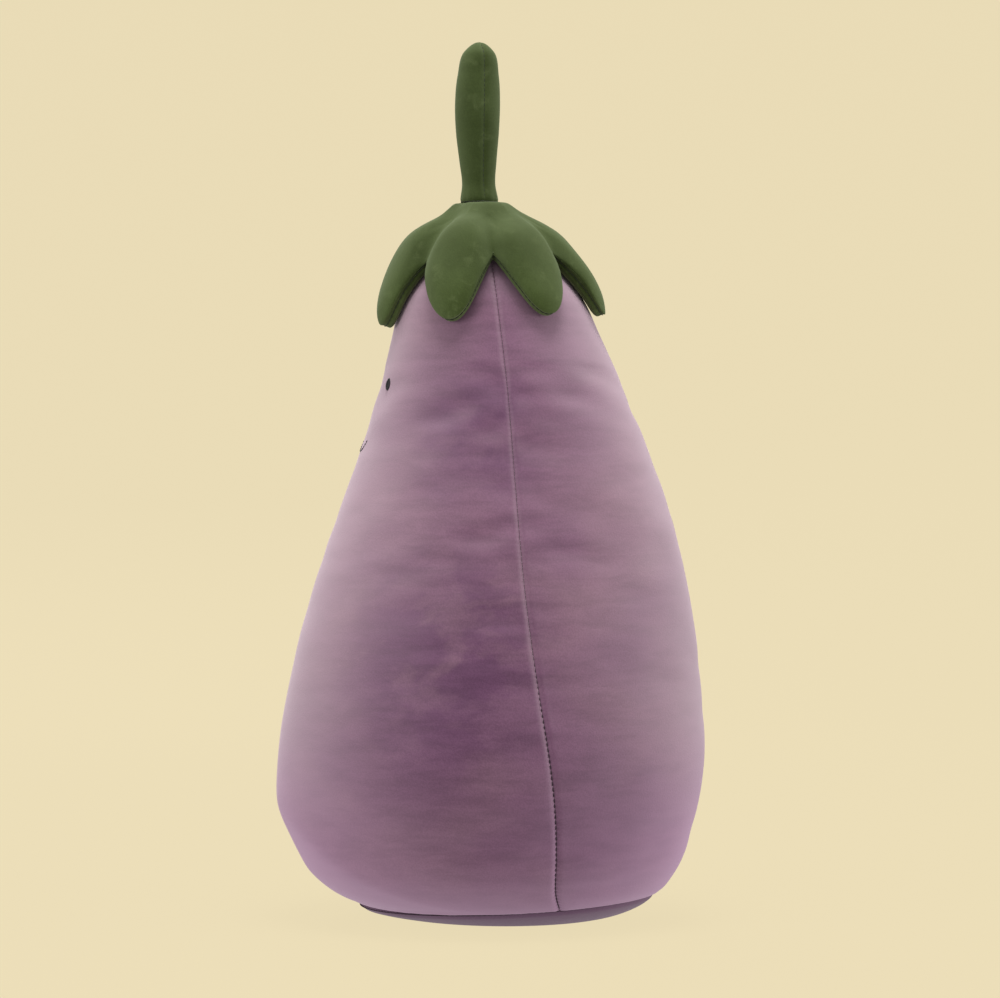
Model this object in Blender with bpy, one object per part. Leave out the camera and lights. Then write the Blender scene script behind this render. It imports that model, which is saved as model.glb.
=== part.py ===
"""Plush eggplant that stands on its own base: a soft toy of sewn, stuffed pile cloth.

Metres, +Z up, face towards -Y. The origin is on the floor, at the middle of the toy's outline from above.
Each panel of cloth, each stuffing, each seam's thread and each piece of embroidery is one object.
The body is worked out on one turned profile: a point on it is an angle about the axis (0 is +X, 90 degrees
is the back), a run along the profile from the centre of the base to the top, and a distance out of the cloth.
"""

import math

import bmesh
import bpy
import numpy as np

# --- Body: the driving sizes -------------------------------------------------------------------------
FLAT_RADIUS = 0.0345  # the part of the base that rests on the floor
BASE_RADIUS = 0.1015  # where the base is sewn to the body
BASE_RISE = 0.0131
BELLY_RADIUS = 0.1446
BELLY_HEIGHT = 0.104
SHOULDER_RADIUS = 0.0715
SHOULDER_HEIGHT = 0.399
BODY_HEIGHT = 0.4725
BELLY_HALF_WIDTH = 0.1475  # across; the body is this much wider than deep at every height

# Points between the driving ones, each a share of the way from one to the next: (in radius, in height).
BASE_EDGE = [(0.68, 0.41)]
LOWER_BELLY = [(0.58, 0.24), (0.85, 0.58)]
FLANK = [(0.08, 0.23), (0.33, 0.50), (0.69, 0.77)]
CROWN = [(0.12, 0.34), (0.34, 0.64), (0.66, 0.89)]

# The axis isn't straight: it bows to the back under the shoulder, nods to the front at the top, and the
# base is set back and tipped up at the back.
BACK_BOW = 0.0115
BOW_AT = 0.66  # shares of the body's height
BOW_SPREAD = 0.26
FORWARD_NOD = 0.0055
BASE_SETBACK = 0.0177
SETBACK_FADE = 0.020
BASE_TIP_UP = 0.0047
TIP_FADE = 0.050

# --- Cloth and seams ---------------------------------------------------------------------------------
CLOTH = 0.0025  # backing and pile together
GAP = 0.0004  # clearance between pieces that touch
FILL_GAP = 0.001  # and between a cover and what it is filled with
SEAM_DIP = 0.0015  # how far the cloth rolls in at a seam
SEAM_ROLL = 0.004  # and over what distance
SEAM_TOP_TURN = math.radians(-2.5)  # the side seams start a little forward of the sides
SEAM_FOOT_TURN = math.radians(15)  # and end well back of them at the base
SWING_FROM = 0.345  # the height under which they swing back
APEX_HOLE = 0.003  # the panels stop this far short of the very top
THREAD_RADIUS = 0.0004

# --- Pellet pouch ------------------------------------------------------------------------------------
POUCH_RADIUS = 0.078
POUCH_THICKNESS = 0.024

# --- Calyx -------------------------------------------------------------------------------------------
LOBE_COUNT = 7
CALYX_VALLEY = 0.057  # from the top of the body along its surface to the notch between two lobes
LOBE_REACH = 0.044  # and from there on to a lobe's tip
LOBE_TAPER = 1.35  # a lobe is slimmer towards its tip the higher this is
CALYX_FORWARD = 0.0045  # the calyx is set this much to the front
CALYX_THICKNESS = 0.022
LOBE_SLIMMER = 0.22  # and this share thinner at the lobes' tips
CALYX_SEAM_HEIGHT = 0.0065  # the edge seam's height over the body
CALYX_CLEARANCE = 0.0015  # the calyx only rests on the body
CALYX_FILL_GAP = 0.0018  # its filling is slack in it
CALYX_TWIST = math.radians(10.6)  # from the front to the nearest lobe's middle
SEAT_MARGIN = 0.002  # the stem's foot presses the calyx flat this far past itself

# --- Stem --------------------------------------------------------------------------------------------
STEM_LENGTH = 0.1097
STEM_RADIUS = 0.0156
STEM_FOOT_RADIUS = 0.0130
STEM_WAIST_RADIUS = 0.0114
STEM_WAIST_HEIGHT = 0.013
STEM_WIDEST_HEIGHT = 0.070
STEM_SIDE = [(0.33, 0.27), (0.85, 0.64)]
STEM_TIP = [(0.08, 0.42), (0.35, 0.84)]
STEM_BOW = 0.0014
STEM_SETBACK = -0.0030  # the stem stands a little forward of the calyx's centre
STEM_SEAM_TURN = math.radians(14)
STEM_APEX_HOLE = 0.0010

# --- Face --------------------------------------------------------------------------------------------
EYE_HEIGHT_UP = 0.3645
EYE_TURN = math.radians(18)  # from the front, to each side
EYE_WIDTH = 0.0066
EYE_TALL = 0.0098
EYE_THICKNESS = 0.0014
# An eye's domed section: (share of its half width, share of its thickness).
EYE_SECTION = [(0, 0), (0.55, 0), (0.9, 0), (1, 0.3), (0.9, 0.6), (0.55, 0.9), (0, 1)]
MOUTH_HEIGHT_UP = 0.319
MOUTH_HALF_WIDTH = 0.014
MOUTH_DROP = 0.008
MOUTH_THREAD_RADIUS = 0.0008

# --- Front dart --------------------------------------------------------------------------------------
DART_TOP = 0.083  # the height of the dart's point

# --- Fineness of the meshes --------------------------------------------------------------------------
PANEL_COLUMNS = 16
BODY_ROW_PITCH = 0.026
BASE_ROWS = 5
LOBE_COLUMNS = 8
CALYX_ROWS = 7
STEM_COLUMNS = 8
STEM_ROWS = 11
EYE_COLUMNS = 14
PROFILE_STEP = 0.0005

FRONT = -math.pi / 2
PURPLE = (0.25, 0.14, 0.20)
PURPLE_BASE = (0.18, 0.11, 0.17)
PURPLE_THREAD = (0.05, 0.02, 0.04)
GREEN = (0.10, 0.14, 0.05)
GREEN_THREAD = (0.02, 0.035, 0.01)
BLACK_THREAD = (0.01, 0.008, 0.01)
FIBRE = (0.85, 0.84, 0.80)
LINEN = (0.75, 0.72, 0.65)


# --- Curves ------------------------------------------------------------------------------------------
def between(start, shares, end):
    """The points at those shares of the way from start to end, each way on its own."""
    return [(start[0] + a * (end[0] - start[0]), start[1] + b * (end[1] - start[1])) for a, b in shares]


def smooth_curve(points, start_slope, end_slope):
    """A Catmull-Rom curve through the points, with unit end directions, sampled every PROFILE_STEP."""
    points = np.array(points, float)
    spans = np.linalg.norm(np.diff(points, axis=0), axis=1)
    slopes = np.empty_like(points)
    steps = np.diff(points, axis=0) / spans[:, None]
    before, after = spans[:-1, None], spans[1:, None]
    slopes[1:-1] = (steps[:-1] * after + steps[1:] * before) / (before + after)
    slopes[0], slopes[-1] = start_slope, end_slope
    pieces = []
    for i, span in enumerate(spans):
        t = np.linspace(0, 1, max(2, int(span / PROFILE_STEP)), endpoint=False)[:, None]
        pieces.append(
            points[i] * (1 + 2 * t) * (1 - t) ** 2
            + points[i + 1] * t**2 * (3 - 2 * t)
            + slopes[i] * span * t * (1 - t) ** 2
            - slopes[i + 1] * span * t**2 * (1 - t)
        )
    return np.vstack([*pieces, points[-1:]])


class Profile:
    """A turned outline, as radius and height against the run along it, with its outward direction."""

    def __init__(self, line):
        self.run = np.concatenate([[0], np.cumsum(np.linalg.norm(np.diff(line, axis=0), axis=1))])
        self.radius, self.height = line.T
        along = np.gradient(line, self.run, axis=0)
        along /= np.linalg.norm(along, axis=1)[:, None]
        self.out_radius, self.out_height = np.where(self.radius > 0, along[:, 1], 0.0), -along[:, 0]
        self.length = self.run[-1]

    def at(self, run, out):
        """(radius, height before the offset, height) at a run, a distance out of the outline."""
        radius = np.interp(run, self.run, self.radius) + out * np.interp(run, self.run, self.out_radius)
        plain = np.interp(run, self.run, self.height)
        return radius, plain, plain + out * np.interp(run, self.run, self.out_height)

    def run_at_height(self, height):
        return float(np.interp(height, self.height, self.run))


def body_profile():
    flat = (FLAT_RADIUS, 0.0)
    base = (BASE_RADIUS, BASE_RISE)
    belly = (BELLY_RADIUS, BELLY_HEIGHT)
    shoulder = (SHOULDER_RADIUS, SHOULDER_HEIGHT)
    top = (0.0, BODY_HEIGHT)
    stations = [flat, *between(flat, BASE_EDGE, base), base, *between(base, LOWER_BELLY, belly)]
    stations += [belly, *between(belly, FLANK, shoulder), shoulder, *between(shoulder, CROWN, top), top]
    line = smooth_curve(stations, (1, 0), (-1, 0))
    rest = np.linspace((0.0, 0.0), flat, int(FLAT_RADIUS / PROFILE_STEP), endpoint=False)
    return Profile(np.vstack([rest, line]))


def stem_profile():
    foot = (STEM_FOOT_RADIUS, 0.0)
    waist = (STEM_WAIST_RADIUS, STEM_WAIST_HEIGHT)
    widest = (STEM_RADIUS, STEM_WIDEST_HEIGHT)
    tip = (0.0, STEM_LENGTH)
    stations = [foot, waist, *between(waist, STEM_SIDE, widest), widest, *between(widest, STEM_TIP, tip), tip]
    return Profile(smooth_curve(stations, (0, 1), (-1, 0)))


BODY = body_profile()
STEM = stem_profile()
SEAM_RUN = BODY.run_at_height(BASE_RISE)
TOP_RUN = BODY.length


# --- The body's surface ------------------------------------------------------------------------------
def axis_setback(height):
    """How far back the body's axis is at a height."""
    share = height / BODY_HEIGHT
    bow = BACK_BOW * np.exp(-(((share - BOW_AT) / BOW_SPREAD) ** 2))
    return bow - FORWARD_NOD * share**4 + BASE_SETBACK * np.exp(-((height / SETBACK_FADE) ** 2))


def tip_up(angle, run):
    """How much higher the body is here because its base is tipped up at the back."""
    under = np.clip((run - FLAT_RADIUS) / (SEAM_RUN - FLAT_RADIUS), 0, 1) ** 2
    over = np.exp(-np.maximum(run - SEAM_RUN, 0) / TIP_FADE)
    return BASE_TIP_UP * np.sin(angle) * under * over


def off_centre_body_point(angle, run, out):
    radius, plain, height = BODY.at(run, out)
    x = radius * np.cos(angle) * BELLY_HALF_WIDTH / BELLY_RADIUS
    y = radius * np.sin(angle) + axis_setback(plain)
    z = height + tip_up(angle, run)
    return np.stack(np.broadcast_arrays(x, y, z), axis=-1)


def depth_centre():
    """The middle of the body's outline from above, front to back."""
    front = off_centre_body_point(FRONT, BODY.run, 0.0)[:, 1].min()
    back = off_centre_body_point(-FRONT, BODY.run, 0.0)[:, 1].max()
    return (front + back) / 2


DEPTH_CENTRE = depth_centre()


def body_point(angle, run, out):
    """A point on the body's plain surface, as if it had no seams."""
    return off_centre_body_point(angle, run, out) - np.array([0.0, DEPTH_CENTRE, 0.0])


def right_seam(run):
    """The angle of the side seam on +X. The one on -X is its mirror."""
    share = np.clip(1 - BODY.at(run, 0.0)[1] / SWING_FROM, 0, 1)
    return SEAM_TOP_TURN + (SEAM_FOOT_TURN - SEAM_TOP_TURN) * share**2 * (3 - 2 * share)


def sewn_point(angle, run, out):
    """A point on the body's surface, where the cloth rolls in at the side seams and the base seam."""
    radius = BODY.at(run, 0.0)[0]
    seam = right_seam(run)
    turned = np.abs((angle - seam + math.pi) % (2 * math.pi) - math.pi)
    mirrored = np.abs((math.pi - angle - seam + math.pi) % (2 * math.pi) - math.pi)
    to_side_seam = np.where(run > SEAM_RUN, radius * np.minimum(turned, mirrored), np.inf)
    roll = np.exp(-((to_side_seam / SEAM_ROLL) ** 2)) + np.exp(-(((run - SEAM_RUN) / SEAM_ROLL) ** 2))
    return body_point(angle, run, out - SEAM_DIP * np.minimum(roll, 1))


def eased(count):
    """count + 1 shares from 0 to 1, close together at both ends."""
    return (1 - np.cos(np.linspace(0, math.pi, count + 1))) / 2


def panel_angles(run):
    """Rows of angles over the front panel and over the back one, seam to seam: a row for each run."""
    run = np.asarray(run, float)[:, None]
    seam = right_seam(run)
    clear = GAP / 2 / np.maximum(BODY.at(run, 0.0)[0], APEX_HOLE)
    share = eased(PANEL_COLUMNS)[None, :]
    front_start, front_end = math.pi - seam + clear, 2 * math.pi + seam - clear
    back_start, back_end = seam + clear, math.pi - seam - clear
    front = front_start + share * (front_end - front_start)
    back = back_start + share * (back_end - back_start)
    return front, back


def body_runs():
    count = round((TOP_RUN - SEAM_RUN) / BODY_ROW_PITCH)
    rows = np.linspace(SEAM_RUN, TOP_RUN - APEX_HOLE, count + 1)
    return np.concatenate([[SEAM_RUN + GAP / 2, SEAM_RUN + SEAM_ROLL], rows[1:]])


def base_runs():
    rising = np.linspace(FLAT_RADIUS, SEAM_RUN - SEAM_ROLL, BASE_ROWS)
    return np.concatenate([[0, FLAT_RADIUS / 2], rising, [SEAM_RUN - GAP / 2]])


# --- Making objects ----------------------------------------------------------------------------------
def clear_scene():
    for old in list(bpy.data.objects):
        bpy.data.objects.remove(old)


def cloth_material(name, colour, roughness=0.9):
    made = bpy.data.materials.new(name)
    made.use_nodes = True
    shader = made.node_tree.nodes["Principled BSDF"]
    shader.inputs["Base Color"].default_value = (*colour, 1.0)
    shader.inputs["Roughness"].default_value = roughness
    shader.inputs["Metallic"].default_value = 0.0
    made.diffuse_color = (*colour, 1.0)
    return made


def skinned(name, loops, material):
    """Skins a stack of closed loops of points. The first and last loops are folded flat or to a point."""
    loops = np.asarray(loops, float)
    rows, columns = loops.shape[:2]
    corner = np.arange(rows * columns).reshape(rows, columns)
    beside = np.roll(corner, -1, axis=1)
    faces = np.stack([corner[:-1], beside[:-1], beside[1:], corner[1:]], axis=-1).reshape(-1, 4)
    mesh = bpy.data.meshes.new(name)
    mesh.from_pydata(loops.reshape(-1, 3).tolist(), [], faces.tolist())
    work = bmesh.new()
    work.from_mesh(mesh)
    bmesh.ops.remove_doubles(work, verts=work.verts, dist=1e-6)
    bmesh.ops.triangulate(work, faces=work.faces, quad_method="SHORT_EDGE")
    bmesh.ops.recalc_face_normals(work, faces=work.faces)
    work.to_mesh(mesh)
    work.free()
    mesh.shade_smooth()
    mesh.set_sharp_from_angle(angle=math.radians(50))
    mesh.materials.append(material)
    made = bpy.data.objects.new(name, mesh)
    bpy.context.scene.collection.objects.link(made)
    return made


def panel(name, outside, inside, material):
    """A panel of cloth between two grids: each loop goes over the outside and back on the inside."""
    loops = np.concatenate([outside, inside[:, ::-1]], axis=1)
    flat = np.concatenate([inside, inside[:, ::-1]], axis=1)
    return skinned(name, np.concatenate([flat[:1], loops, flat[-1:]]), material)


def thread(name, points, radius, material, closed=False):
    """A thread that follows the points."""
    curve = bpy.data.curves.new(name, "CURVE")
    curve.dimensions = "3D"
    curve.bevel_depth = radius
    curve.bevel_resolution = 1
    curve.use_fill_caps = True
    spline = curve.splines.new("POLY")
    spline.points.add(len(points) - 1)
    for held, place in zip(spline.points, points):
        held.co = (*place, 1.0)
    spline.use_cyclic_u = closed
    curve.materials.append(material)
    made = bpy.data.objects.new(name, curve)
    bpy.context.scene.collection.objects.link(made)
    return made


# --- Body pieces -------------------------------------------------------------------------------------
def make_body(purple, purple_base):
    run = body_runs()[:, None]
    for name, angles in zip(("body_front_panel", "body_back_panel"), panel_angles(run[:, 0])):
        panel(name, sewn_point(angles, run, 0.0), sewn_point(angles, run, -CLOTH), purple)
    run = base_runs()[:, None]
    angles = np.concatenate(panel_angles(np.full(len(run), SEAM_RUN)), axis=1)
    outside, inside = sewn_point(angles, run, 0.0), sewn_point(angles, run, -CLOTH)
    skinned("base_panel", np.concatenate([outside, inside[::-1]]), purple_base)


def pouch_thickness(run):
    """How thick the pellet pouch is over the base, at a run along it."""
    return POUCH_THICKNESS * np.sqrt(np.clip(1 - (run / POUCH_RADIUS) ** 2, 0, 1))


def make_filling(fibre, linen):
    over_base = CLOTH + FILL_GAP
    run = base_runs()
    run = np.append(run[run < POUCH_RADIUS], POUCH_RADIUS)[:, None]
    angles = np.concatenate(panel_angles(np.full(len(run), SEAM_RUN)), axis=1)
    under = sewn_point(angles, run, -over_base)
    over = sewn_point(angles, run, -over_base - pouch_thickness(run))
    skinned("pellet_pouch", np.concatenate([under, over[::-1]]), linen)

    base, body = base_runs(), np.append(body_runs(), TOP_RUN)
    base = np.sort(np.append(base, POUCH_RADIUS))
    angles = np.concatenate(
        [
            np.concatenate(panel_angles(np.full(len(base), SEAM_RUN)), axis=1),
            np.concatenate(panel_angles(body), axis=1),
        ]
    )
    run = np.concatenate([base, body])[:, None]
    over_pouch = np.where(run <= POUCH_RADIUS, pouch_thickness(run) + FILL_GAP, 0.0)
    skinned("body_stuffing", sewn_point(angles, run, -over_base - over_pouch), fibre)


def in_groove(angle, run):
    """A point where thread lies in a seam, clear of the cloth rolled in on both sides."""
    return body_point(angle, run, GAP + THREAD_RADIUS - SEAM_DIP)


def make_body_threads(material):
    run = body_runs()[2:-1]
    seam = right_seam(run)
    thread("side_seam_thread_right", in_groove(seam, run), THREAD_RADIUS, material)
    thread("side_seam_thread_left", in_groove(math.pi - seam, run), THREAD_RADIUS, material)
    ring = np.concatenate(panel_angles([SEAM_RUN]), axis=1)[0]
    thread("base_seam_thread", in_groove(ring, SEAM_RUN), THREAD_RADIUS, material, closed=True)
    dart = np.linspace(SEAM_RUN + 2 * SEAM_ROLL, BODY.run_at_height(DART_TOP), 8)
    thread("front_dart_thread", body_point(FRONT, dart, GAP + THREAD_RADIUS), THREAD_RADIUS, material)


# --- Face --------------------------------------------------------------------------------------------
def make_face(material):
    centre = BODY.run_at_height(EYE_HEIGHT_UP)
    radius = BODY.at(centre, 0.0)[0]
    around = np.linspace(0, 2 * math.pi, EYE_COLUMNS, endpoint=False)[None, :]
    share, raised = np.array(EYE_SECTION, float).T[..., None]
    run = centre + EYE_TALL / 2 * share * np.sin(around)
    for name, side in (("eye_right", 1), ("eye_left", -1)):
        angle = FRONT + side * EYE_TURN + EYE_WIDTH / 2 / radius * share * np.cos(around)
        skinned(name, body_point(angle, run, GAP + EYE_THICKNESS * raised), material)
    across = np.linspace(-1, 1, 11)
    run = BODY.run_at_height(MOUTH_HEIGHT_UP) + MOUTH_DROP * across**2
    angle = FRONT + across * MOUTH_HALF_WIDTH / BODY.at(run, 0.0)[0]
    points = body_point(angle, run, GAP + MOUTH_THREAD_RADIUS)
    thread("mouth_embroidery", points, MOUTH_THREAD_RADIUS, material)


# --- Calyx -------------------------------------------------------------------------------------------
def calyx_angles():
    count = LOBE_COUNT * LOBE_COLUMNS
    return (FRONT + CALYX_TWIST + np.arange(count) * 2 * math.pi / count)[None, :]


def calyx_reach(angle, inset):
    """How far the calyx reaches from the top of the body at an angle, less an inset square to its edge."""
    phase = LOBE_COUNT / 2 * (angle - FRONT - CALYX_TWIST)
    lobe, side = np.abs(np.cos(phase)), np.abs(np.sin(phase))
    reach = CALYX_VALLEY + LOBE_REACH * lobe**LOBE_TAPER + CALYX_FORWARD * np.cos(angle - FRONT)
    slope = LOBE_REACH * LOBE_TAPER * lobe ** (LOBE_TAPER - 1) * LOBE_COUNT / 2 * side
    radius = BODY.at(TOP_RUN - reach, 0.0)[0]
    return reach - inset * np.hypot(1, slope / radius)


def calyx_sheet(inset, middle, edge, curve, seat):
    """A sheet of the calyx: its height over the body goes from middle to edge, staying flat for longer
    the higher the curve's power, and it is pressed down to the seat under the stem."""
    power, slimmer = curve
    angle = calyx_angles()
    share = np.sin(np.linspace(0, math.pi / 2, CALYX_ROWS + 1))[:, None]
    out = edge + (middle - edge) * (1 - slimmer * share**2) * np.sqrt(1 - share**power)
    points = body_point(angle, TOP_RUN - share * calyx_reach(angle, inset), out)
    points[..., 2] = np.minimum(points[..., 2], seat)
    return points


STEM_SEAT = body_point(FRONT, TOP_RUN - STEM_FOOT_RADIUS - SEAT_MARGIN, CALYX_THICKNESS)[2]
UPPER_CURVE, LOWER_CURVE = (4, LOBE_SLIMMER), (8, 0.0)


def make_calyx(green, fibre):
    seam, under, top = CALYX_SEAM_HEIGHT, CALYX_CLEARANCE, CALYX_THICKNESS
    outside = calyx_sheet(0.0, top, seam, UPPER_CURVE, STEM_SEAT)
    inside = calyx_sheet(CLOTH, top - CLOTH, seam, UPPER_CURVE, STEM_SEAT - CLOTH)
    skinned("calyx_upper_panel", np.concatenate([outside, inside[::-1]]), green)
    outside = calyx_sheet(0.0, under, seam - GAP, LOWER_CURVE, STEM_SEAT)
    inside = calyx_sheet(CLOTH, under + CLOTH, seam - GAP, LOWER_CURVE, STEM_SEAT)
    skinned("calyx_lower_panel", np.concatenate([outside, inside[::-1]]), green)
    clear = CLOTH + CALYX_FILL_GAP
    upper = calyx_sheet(clear, top - clear, seam, UPPER_CURVE, STEM_SEAT - clear)
    lower = calyx_sheet(clear, under + clear, seam, LOWER_CURVE, STEM_SEAT)
    skinned("calyx_stuffing", np.concatenate([upper, lower[::-1]]), fibre)


def make_calyx_thread(material):
    """The thread of the seam round the calyx's edge, just outside it."""
    angle = calyx_angles()[0]
    reach = calyx_reach(angle, -GAP - THREAD_RADIUS)
    points = body_point(angle, TOP_RUN - reach, CALYX_SEAM_HEIGHT - GAP / 2)
    thread("calyx_seam_thread", points, THREAD_RADIUS, material, closed=True)


# --- Stem --------------------------------------------------------------------------------------------
def stem_point(angle, run, out):
    radius, plain, height = STEM.at(run, out)
    setback = body_point(0.0, TOP_RUN, 0.0)[1] + STEM_SETBACK
    lean = setback - STEM_BOW * np.sin(math.pi * plain / STEM_LENGTH)
    x, y = radius * np.cos(angle), radius * np.sin(angle) + lean
    return np.stack(np.broadcast_arrays(x, y, height + STEM_SEAT + GAP), axis=-1)


def stem_runs():
    return np.linspace(0, STEM.length - STEM_APEX_HOLE, STEM_ROWS + 1)


def stem_angles(run):
    """Rows of angles over the stem's front half and over its back half, one row for each run."""
    run = np.asarray(run, float)[:, None]
    clear = GAP / 2 / np.maximum(STEM.at(run, 0.0)[0], STEM_APEX_HOLE)
    share = np.linspace(0, 1, STEM_COLUMNS + 1)[None, :]
    start = STEM_SEAM_TURN + clear
    back = start + share * (math.pi - 2 * clear)
    return back + math.pi, back


def make_stem(green, fibre, dark):
    run = stem_runs()[:, None]
    for name, angles in zip(("stem_front_panel", "stem_back_panel"), stem_angles(run[:, 0])):
        panel(name, stem_point(angles, run, 0.0), stem_point(angles, run, -CLOTH), green)
    run = np.append(stem_runs(), STEM.length)
    angles = np.concatenate(stem_angles(run), axis=1)
    side = stem_point(angles, run[:, None], -CLOTH - FILL_GAP)
    floor_centre = np.broadcast_to(side[0].mean(axis=0), side[:1].shape)
    skinned("stem_stuffing", np.concatenate([floor_centre, side]), fibre)

    out = GAP + THREAD_RADIUS
    up = stem_point(STEM_SEAM_TURN, stem_runs()[1:], out)
    down = stem_point(STEM_SEAM_TURN + math.pi, stem_runs()[1:], out)[::-1]
    thread("stem_seam_thread", np.vstack([up, down]), THREAD_RADIUS, dark)
    ring = stem_point(np.concatenate(stem_angles([0.0]), axis=1)[0], 0.0, out)
    thread("stem_foot_thread", ring + np.array([0, 0, THREAD_RADIUS]), THREAD_RADIUS, dark, closed=True)


# --- The toy -----------------------------------------------------------------------------------------
def main():
    clear_scene()
    purple = cloth_material("purple_pile", PURPLE)
    purple_base = cloth_material("purple_base_pile", PURPLE_BASE)
    green = cloth_material("green_pile", GREEN)
    fibre = cloth_material("white_fibre", FIBRE, 1.0)
    linen = cloth_material("pouch_linen", LINEN, 0.95)
    make_body(purple, purple_base)
    make_filling(fibre, linen)
    make_body_threads(cloth_material("purple_thread", PURPLE_THREAD, 0.6))
    make_face(cloth_material("black_thread", BLACK_THREAD, 0.5))
    make_calyx(green, fibre)
    green_thread = cloth_material("green_thread", GREEN_THREAD, 0.6)
    make_calyx_thread(green_thread)
    make_stem(green, fibre, green_thread)


main()
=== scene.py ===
"""A stuffed eggplant of short-pile cloth: purple body on a round base, green calyx and stem, sewn face."""

import math

import bmesh
import bpy
import numpy as np
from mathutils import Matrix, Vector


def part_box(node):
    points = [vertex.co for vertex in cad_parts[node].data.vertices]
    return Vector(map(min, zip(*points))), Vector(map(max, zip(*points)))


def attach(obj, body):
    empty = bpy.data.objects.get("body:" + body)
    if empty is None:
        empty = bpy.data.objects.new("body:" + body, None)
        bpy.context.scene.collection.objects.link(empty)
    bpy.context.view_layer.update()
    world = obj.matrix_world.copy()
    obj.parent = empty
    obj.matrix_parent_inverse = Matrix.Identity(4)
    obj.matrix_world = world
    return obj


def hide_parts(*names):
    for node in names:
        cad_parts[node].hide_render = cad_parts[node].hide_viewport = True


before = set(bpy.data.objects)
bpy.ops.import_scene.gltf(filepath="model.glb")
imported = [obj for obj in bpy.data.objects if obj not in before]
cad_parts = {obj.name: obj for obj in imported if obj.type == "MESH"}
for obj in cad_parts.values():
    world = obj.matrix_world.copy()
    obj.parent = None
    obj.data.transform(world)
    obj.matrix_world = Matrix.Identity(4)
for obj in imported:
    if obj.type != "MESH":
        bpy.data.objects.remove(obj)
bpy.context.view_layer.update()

# === The studio ======================================================================================
# A bowl of cream paper with the toy at its middle, so the floor runs up into the background with no edge.
# Two soft boxes stand at the sides, a little behind the toy, with a weak one in front and one overhead.

PAPER = (0.831, 0.723, 0.479)
BOWL_FLAT, BOWL_RADIUS, BOWL_HEIGHT = 2.2, 5.0, 5.0
CAMERA_AZIMUTH = math.radians(85)  # 0 looks at the face, 90 along the side seam
CAMERA_DISTANCE = 2.4
CAMERA_HEIGHT = 0.2871
CAMERA_ASIDE = 0.0062
LENS = 126.1


def put_in_scene(made):
    """Links a new object into the scene and gives it back."""
    bpy.context.scene.collection.objects.link(made)
    return made


def grid_faces(rows, columns, wrapped):
    """Corner numbers of a grid's faces, four per face; wrapped joins the last column to the first."""
    corner = np.arange(rows * columns).reshape(rows, columns)
    if wrapped:
        corner = np.concatenate([corner, corner[:, :1]], axis=1)
    around = (corner[:-1, :-1], corner[:-1, 1:], corner[1:, 1:], corner[1:, :-1])
    return np.stack(around, axis=-1).reshape(-1, 4)


def grid_uv(rows, columns, wrapped):
    """The UV place of each face's corners: u runs from 0 to 1 along a row and v up the columns."""
    across = columns if wrapped else columns - 1
    v, u = np.meshgrid(np.arange(rows - 1), np.arange(across), indexing="ij")
    corners = np.stack([u, v, u + 1, v, u + 1, v + 1, u, v + 1], axis=-1).reshape(-1, 4, 2)
    return corners / np.array([across, rows - 1])


def surface(name, points, material, wrapped=True, poles=(False, False)):
    """A smooth mesh over a grid of points, rows by columns. A pole is a row that is all one point."""
    rows, columns = points.shape[:2]
    faces = grid_faces(rows, columns, wrapped)
    uv = grid_uv(rows, columns, wrapped)
    per_row = len(faces) // (rows - 1)
    flat = points.reshape(-1, 3)
    polygons = faces.tolist()
    places = uv.tolist()
    if poles[0]:
        polygons[:per_row] = [[0, c, d] for a, b, c, d in polygons[:per_row]]
        places[:per_row] = [[a, c, d] for a, b, c, d in places[:per_row]]
    if poles[1]:
        top = (rows - 1) * columns
        polygons[-per_row:] = [[a, b, top] for a, b, c, d in polygons[-per_row:]]
        places[-per_row:] = [[a, b, c] for a, b, c, d in places[-per_row:]]
    mesh = bpy.data.meshes.new(name)
    mesh.from_pydata(flat, [], polygons)
    layer = mesh.uv_layers.new(name="cloth")
    layer.uv.foreach_set("vector", np.concatenate([np.ravel(p) for p in places]).astype(np.float32))
    if any(poles):
        join_corners(mesh)
    mesh.shade_smooth()
    mesh.materials.append(material)
    return put_in_scene(bpy.data.objects.new(name, mesh))


def join_corners(mesh):
    """Makes one corner of those that lie on one another, and drops those that no face uses."""
    work = bmesh.new()
    work.from_mesh(mesh)
    bmesh.ops.remove_doubles(work, verts=work.verts, dist=1e-7)
    bmesh.ops.delete(work, geom=[v for v in work.verts if not v.link_faces], context="VERTS")
    work.to_mesh(mesh)
    work.free()


def new_material(name):
    """A material with its Principled shader and two makers: one adds a node, one joins two sockets."""
    material = bpy.data.materials.new(name)
    material.use_nodes = True
    tree = material.node_tree
    shader = tree.nodes["Principled BSDF"]

    def add(kind, inputs=None, **settings):
        made = tree.nodes.new(kind)
        for key, value in settings.items():
            setattr(made, key, value)
        for key, value in (inputs or {}).items():
            made.inputs[key].default_value = value
        return made

    return material, shader, add, tree.links.new


def paper_material():
    """Cream paper with a fine grain, mostly lit from within so that the bowl is even all round."""
    material, shader, add, join = new_material("cream_paper")
    shader.inputs["Base Color"].default_value = (*(0.06 * c for c in PAPER), 1)
    shader.inputs["Roughness"].default_value = 1.0
    shader.inputs["Specular IOR Level"].default_value = 0.0
    shader.inputs["Emission Color"].default_value = (*PAPER, 1)
    shader.inputs["Emission Strength"].default_value = 0.95
    grain = add("ShaderNodeTexNoise", {"Scale": 900.0, "Detail": 2.0})
    place = add("ShaderNodeTexCoord")
    bump = add("ShaderNodeBump", {"Strength": 0.05, "Distance": 0.0005})
    join(place.outputs["Object"], grain.inputs["Vector"])
    join(grain.outputs["Fac"], bump.inputs["Height"])
    join(bump.outputs["Normal"], shader.inputs["Normal"])
    return material


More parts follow.
